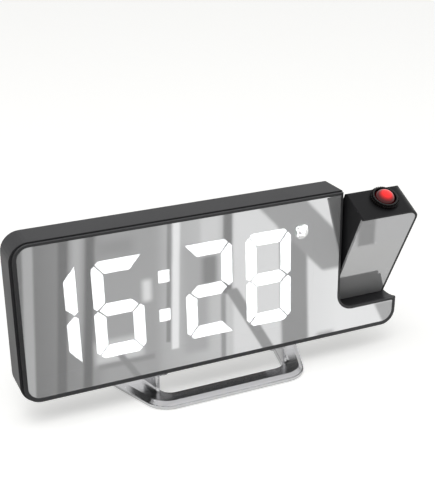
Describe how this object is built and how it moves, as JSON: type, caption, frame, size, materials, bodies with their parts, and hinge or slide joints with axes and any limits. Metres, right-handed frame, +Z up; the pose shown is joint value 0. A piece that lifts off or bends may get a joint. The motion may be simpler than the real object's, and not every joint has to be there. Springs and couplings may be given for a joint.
{
  "type": "projection alarm clock",
  "caption": "Mirror-fronted digital alarm clock on a splayed metal bracket, with a tilting projector arm set into its right-hand side.",
  "frame": {"origin": "on the desk, under the middle of the body's width and depth", "axes": "+X along the width towards the projector arm, +Y from the mirror to the back, +Z up"},
  "size_m": [0.1878, 0.0496, 0.0856],
  "materials": {
    "shell_plastic": "fine satin moulded surface",
    "bezel_plastic": "smooth satin",
    "mirror": "one-way mirror coating, bright",
    "white_plastic": "plain moulded",
    "lit_white": "white light diffuser, lit",
    "dark_segment": "white light diffuser, unlit",
    "circuit_board": "solder mask",
    "chip_black": "moulded",
    "led_yellow": "phosphor",
    "button_plastic": "satin",
    "bright_steel": "bright",
    "contact_brass": "plain",
    "stand_metal": "satin with polished bevels",
    "foot_rubber": "matt",
    "lead_red": "insulation",
    "optic_black": "matt black",
    "lens_red": "clear, lit red from within",
    "clear_glass": "clear"
  },
  "bodies": {
    "body": {"rear_shell": "shell_plastic", "front_bezel": "bezel_plastic", "mirror_panel": "mirror", "display_reflector": "white_plastic", "lit_segments": "lit_white", "unlit_segments": "dark_segment", "colon_dots": "lit_white", "alarm_icon": "lit_white", "display_board": "circuit_board", "display_leds": "led_yellow", "main_board": "circuit_board", "control_chip": "chip_black", "clock_crystal": "bright_steel", "board_connector": "white_plastic", "key_switches": "chip_black", "buzzer": "chip_black", "port_board": "circuit_board", "power_inlet": "bezel_plastic", "inlet_pin": "bright_steel", "usb_outlet": "bright_steel", "usb_tongue": "white_plastic", "cell_contacts": "contact_brass", "coin_cell": "bright_steel", "shell_screws": "bright_steel", "board_screws": "bright_steel", "axle_bush": "white_plastic", "stand": "stand_metal", "stand_feet": "foot_rubber", "stand_screws": "bright_steel", "body_lead": "lead_red"},
    "door": {"battery_door": "shell_plastic"},
    "arm": {"arm_shell": "bezel_plastic", "arm_back": "shell_plastic", "arm_mirror": "mirror", "arm_axle": "bright_steel", "friction_washer": "bright_steel", "axle_clip": "bright_steel", "lens_tube": "optic_black", "projector_board": "circuit_board", "projector_led": "white_plastic", "condenser_lens": "clear_glass", "slide_display": "clear_glass", "arm_screws": "bright_steel", "arm_lead": "lead_red"},
    "ring": {"focus_ring": "button_plastic"},
    "lens_carrier": {"lens_barrel": "optic_black", "projection_lens": "lens_red", "rear_lens": "clear_glass"},
    "mode_key": {"mode_button": "button_plastic"},
    "up_key": {"up_button": "button_plastic"},
    "down_key": {"down_button": "button_plastic"},
    "alarm_key": {"alarm_button": "button_plastic"},
    "snooze_key": {"snooze_button": "button_plastic"}
  },
  "joints": [
    {"name": "arm_tilt", "type": "hinge", "parent": "body", "child": "arm", "pos_m": [0.0614, 0, 0.0473], "axis": [1, 0, 0], "range_deg": [-117, 63]},
    {"name": "focus_turn", "type": "hinge", "parent": "arm", "child": "ring", "pos_m": [0.078, -0.01604, 0.08099], "axis": [0, -0.454, 0.891], "range_deg": [-90, 90]},
    {"name": "lens_focus", "type": "slide", "parent": "arm", "child": "lens_carrier", "axis": [0, -0.454, 0.891], "range_m": [-0.0006, 0.0006]},
    {"name": "door_pull", "type": "slide", "parent": "body", "child": "door", "axis": [0, 1, 0], "range_m": [0, 0.014]},
    {"name": "mode_press", "type": "slide", "parent": "body", "child": "mode_key", "axis": [0, -1, 0], "range_m": [0, 0.0006], "stiffness_N_per_m": 800},
    {"name": "up_press", "type": "slide", "parent": "body", "child": "up_key", "axis": [0, -1, 0], "range_m": [0, 0.0006], "stiffness_N_per_m": 800},
    {"name": "down_press", "type": "slide", "parent": "body", "child": "down_key", "axis": [0, -1, 0], "range_m": [0, 0.0006], "stiffness_N_per_m": 800},
    {"name": "alarm_press", "type": "slide", "parent": "body", "child": "alarm_key", "axis": [0, -1, 0], "range_m": [0, 0.0006], "stiffness_N_per_m": 800},
    {"name": "snooze_press", "type": "slide", "parent": "body", "child": "snooze_key", "axis": [0, -1, 0], "range_m": [0, 0.0006], "stiffness_N_per_m": 800}
  ],
  "couplings": [
    {"joint": "focus_turn", "follows": "lens_focus", "rad_per_m": 2600}
  ]
}
